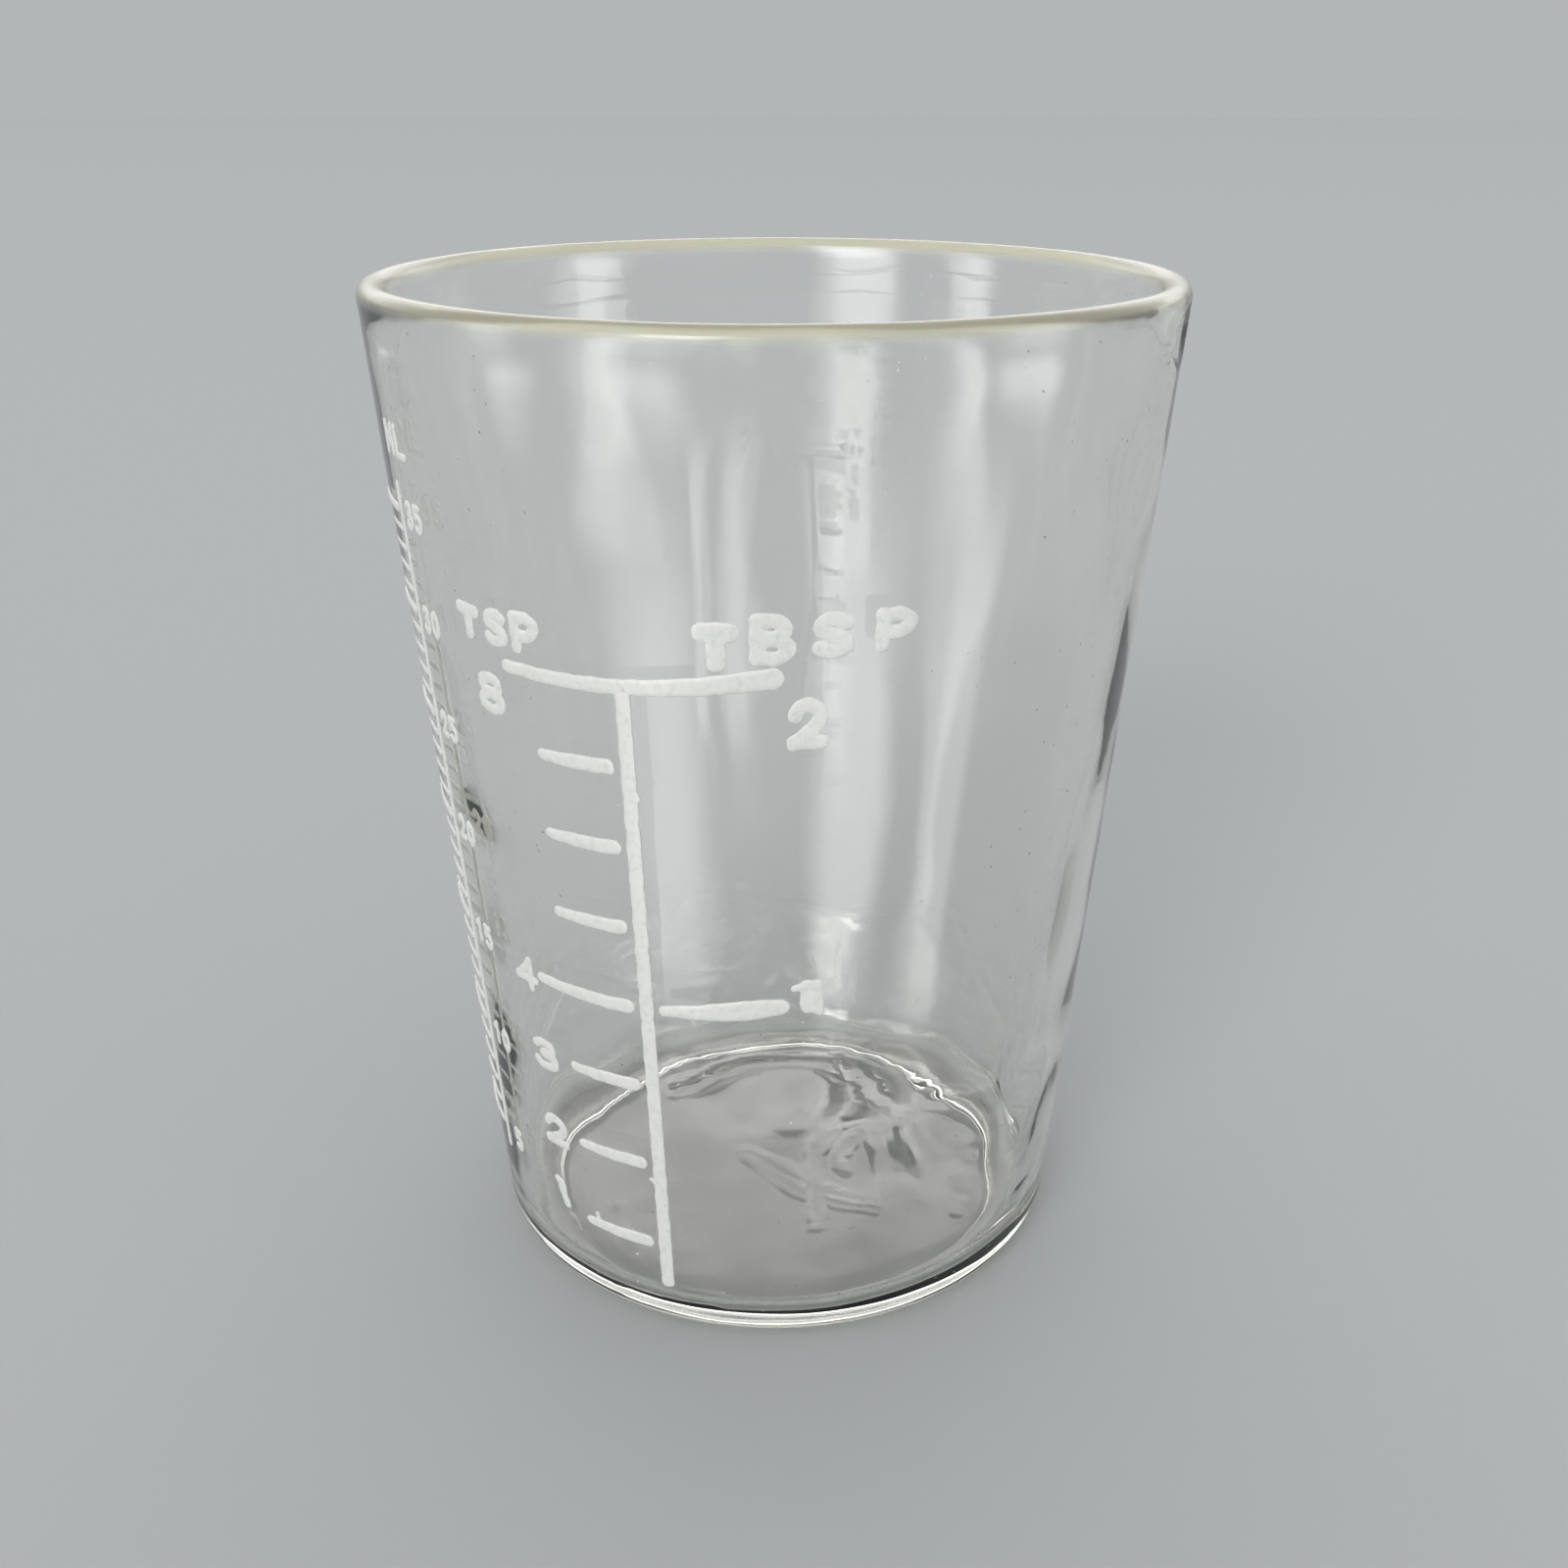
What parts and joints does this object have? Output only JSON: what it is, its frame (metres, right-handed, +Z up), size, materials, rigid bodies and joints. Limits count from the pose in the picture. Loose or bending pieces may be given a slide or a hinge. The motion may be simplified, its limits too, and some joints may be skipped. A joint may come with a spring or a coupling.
{
  "type": "dosing cup",
  "caption": "Small tapered clear glass dosing cup with a fire-polished lip and white enamel teaspoon, tablespoon and millilitre graduations.",
  "frame": {"origin": "centre of the flat ring that the glass stands on, at table height", "axes": "+Z up along the glass's axis, towards the mouth; the spoon scales face -Y, the millilitre scale is on the -X side"},
  "size_m": [0.04, 0.04, 0.052],
  "materials": {
    "clear_glass": "clear pressed soda-lime glass, fire-polished, faintly wavy",
    "white_enamel": "screen-printed white enamel fired onto the glass, satin"
  },
  "bodies": {
    "root": {"glass_cup": "clear_glass", "full_line": "white_enamel", "scale_spine": "white_enamel", "teaspoon_tick_1": "white_enamel", "teaspoon_tick_2": "white_enamel", "teaspoon_tick_3": "white_enamel", "teaspoon_tick_4": "white_enamel", "teaspoon_tick_5": "white_enamel", "teaspoon_tick_6": "white_enamel", "teaspoon_tick_7": "white_enamel", "tablespoon_tick_1": "white_enamel", "millilitre_spine": "white_enamel", "millilitre_fine_ticks": "white_enamel", "millilitre_tick_5": "white_enamel", "millilitre_tick_10": "white_enamel", "millilitre_tick_15": "white_enamel", "millilitre_tick_20": "white_enamel", "millilitre_tick_25": "white_enamel", "millilitre_tick_30": "white_enamel", "millilitre_tick_35": "white_enamel"}
  },
  "joints": []
}
